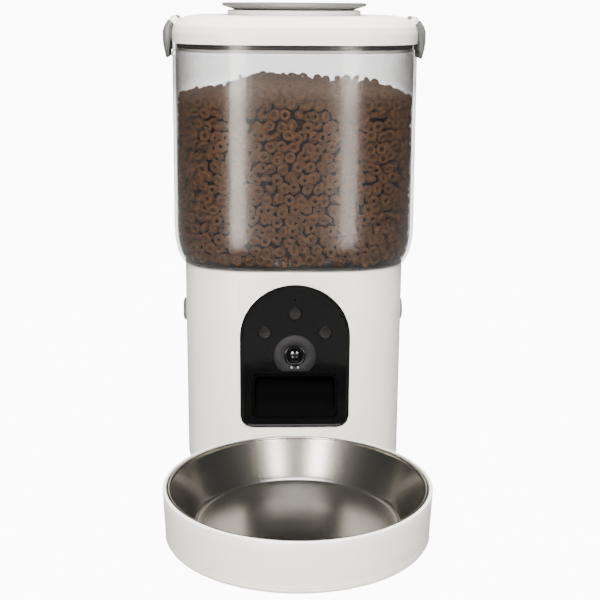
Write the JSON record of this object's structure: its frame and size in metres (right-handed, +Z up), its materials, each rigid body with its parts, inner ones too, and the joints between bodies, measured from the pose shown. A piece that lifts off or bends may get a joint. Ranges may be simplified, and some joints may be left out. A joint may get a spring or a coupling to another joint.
{
  "type": "pet feeder with camera",
  "caption": "Automatic pet feeder: clear hopper with latched lid over a motor base with camera, buttons and outlet chute, and a steel bowl on a clip-on tray.",
  "frame": {"origin": "on the floor under the middle of the whole feeder, bowl included", "axes": "+Z up, -Y to the front where the camera, outlet and bowl are, +X to the feeder's left as it faces you, which is the picture's right"},
  "size_m": [0.2008, 0.3486, 0.3619],
  "materials": {
    "white_plastic": "moulded, satin warm white",
    "grey_plastic": "moulded, fine matt mid grey",
    "light_grey_plastic": "moulded, satin light grey",
    "clear_plastic": "clear, lightly smoked, polished",
    "gloss_black": "polished black",
    "satin_black": "satin black",
    "black_plastic": "moulded matt black",
    "rubber": "matt dark rubber",
    "steel_brushed": "brushed round the bowl",
    "steel": "plain turned or pressed steel",
    "brass": "turned brass",
    "white_nylon": "moulded nylon",
    "green_board": "green solder mask",
    "lens_glass": "dark coated lens",
    "led_clear": "clear resin"
  },
  "bodies": {
    "base": {"base_housing": "white_plastic", "base_cover": "white_plastic", "foot_front_left": "rubber", "foot_front_right": "rubber", "foot_rear_left": "rubber", "foot_rear_right": "rubber", "cover_screw_front_left": "steel", "cover_screw_front_right": "steel", "cover_screw_rear_left": "steel", "cover_screw_rear_right": "steel", "food_chute": "black_plastic", "front_panel": "gloss_black", "button_board": "green_board", "camera_disc": "satin_black", "camera_barrel": "satin_black", "camera_lens": "lens_glass", "camera_board": "green_board", "infrared_led_left": "led_clear", "infrared_led_right": "led_clear", "spindle_bush": "brass", "motor_bracket": "steel", "gear_motor": "steel", "battery_bay": "black_plastic", "battery_contact_front": "steel", "battery_contact_rear": "steel", "main_board": "green_board", "loudspeaker": "black_plastic", "power_inlet": "black_plastic"},
    "battery_door": {"battery_door": "white_plastic"},
    "button_top": {"button_top": "satin_black"},
    "button_left": {"button_left": "satin_black"},
    "button_right": {"button_right": "satin_black"},
    "release_left": {"release_button_left": "grey_plastic"},
    "release_right": {"release_button_right": "grey_plastic"},
    "drive": {"drive_gear": "white_nylon", "drive_shaft": "steel"},
    "pinion": {"motor_pinion": "brass"},
    "hopper": {"hopper": "clear_plastic", "dosing_pan": "white_plastic", "outlet_shield": "grey_plastic"},
    "paddle": {"paddle_wheel": "grey_plastic"},
    "lid": {"lid_shell": "white_plastic", "lid_plug": "white_plastic", "lid_gasket": "rubber", "cap_neck_ring": "light_grey_plastic", "latch_pin_left": "steel", "latch_pin_right": "steel"},
    "cap": {"desiccant_cap": "grey_plastic", "desiccant_cup": "light_grey_plastic"},
    "latch_left": {"latch_left": "grey_plastic"},
    "latch_right": {"latch_right": "grey_plastic"},
    "tray": {"bowl_tray": "white_plastic", "tray_pad_1": "rubber", "tray_pad_2": "rubber", "tray_pad_3": "rubber"},
    "bowl": {"steel_bowl": "steel_brushed"}
  },
  "joints": [
    {"name": "hopper_lift", "type": "slide", "parent": "base", "child": "hopper", "axis": [0, 0, 1], "range_m": [0, 0.06]},
    {"name": "paddle_spin", "type": "hinge", "parent": "hopper", "child": "paddle", "pos_m": [0, 0.09025, 0.139], "axis": [0, 0, 1], "continuous": true},
    {"name": "drive_spin", "type": "hinge", "parent": "base", "child": "drive", "pos_m": [0, 0.09025, 0.124], "axis": [0, 0, 1], "continuous": true},
    {"name": "pinion_spin", "type": "hinge", "parent": "base", "child": "pinion", "pos_m": [0, 0.1215, 0.124], "axis": [0, 0, 1], "continuous": true},
    {"name": "lid_lift", "type": "slide", "parent": "hopper", "child": "lid", "axis": [0, 0, 1], "range_m": [0, 0.04]},
    {"name": "cap_turn", "type": "hinge", "parent": "lid", "child": "cap", "pos_m": [0, 0.09025, 0.3568], "axis": [0, 0, 1], "range_deg": [0, 45]},
    {"name": "latch_left_swing", "type": "hinge", "parent": "lid", "child": "latch_left", "pos_m": [-0.09141, 0.09025, 0.3499], "axis": [0, 1, 0], "range_deg": [0, 80]},
    {"name": "latch_right_swing", "type": "hinge", "parent": "lid", "child": "latch_right", "pos_m": [0.09141, 0.09025, 0.3499], "axis": [0, -1, 0], "range_deg": [0, 80]},
    {"name": "button_top_press", "type": "slide", "parent": "base", "child": "button_top", "axis": [0, 1, 0], "range_m": [0, 0.0012], "stiffness_N_per_m": 1200},
    {"name": "button_left_press", "type": "slide", "parent": "base", "child": "button_left", "axis": [0, 1, 0], "range_m": [0, 0.0012], "stiffness_N_per_m": 1200},
    {"name": "button_right_press", "type": "slide", "parent": "base", "child": "button_right", "axis": [0, 1, 0], "range_m": [0, 0.0012], "stiffness_N_per_m": 1200},
    {"name": "release_left_press", "type": "slide", "parent": "base", "child": "release_left", "axis": [1, 0, 0], "range_m": [0, 0.0025], "stiffness_N_per_m": 1500},
    {"name": "release_right_press", "type": "slide", "parent": "base", "child": "release_right", "axis": [-1, 0, 0], "range_m": [0, 0.0025], "stiffness_N_per_m": 1500},
    {"name": "tray_pull", "type": "slide", "parent": "base", "child": "tray", "axis": [0, -1, 0], "range_m": [0, 0.06]},
    {"name": "bowl_lift", "type": "slide", "parent": "tray", "child": "bowl", "axis": [0, 0, 1], "range_m": [0, 0.05]},
    {"name": "battery_door_slide", "type": "slide", "parent": "base", "child": "battery_door", "axis": [0, 1, 0], "range_m": [0, 0.085]}
  ],
  "couplings": [
    {"joint": "drive_spin", "follows": "paddle_spin", "ratio": 1},
    {"joint": "pinion_spin", "follows": "paddle_spin", "ratio": -2.5714}
  ]
}
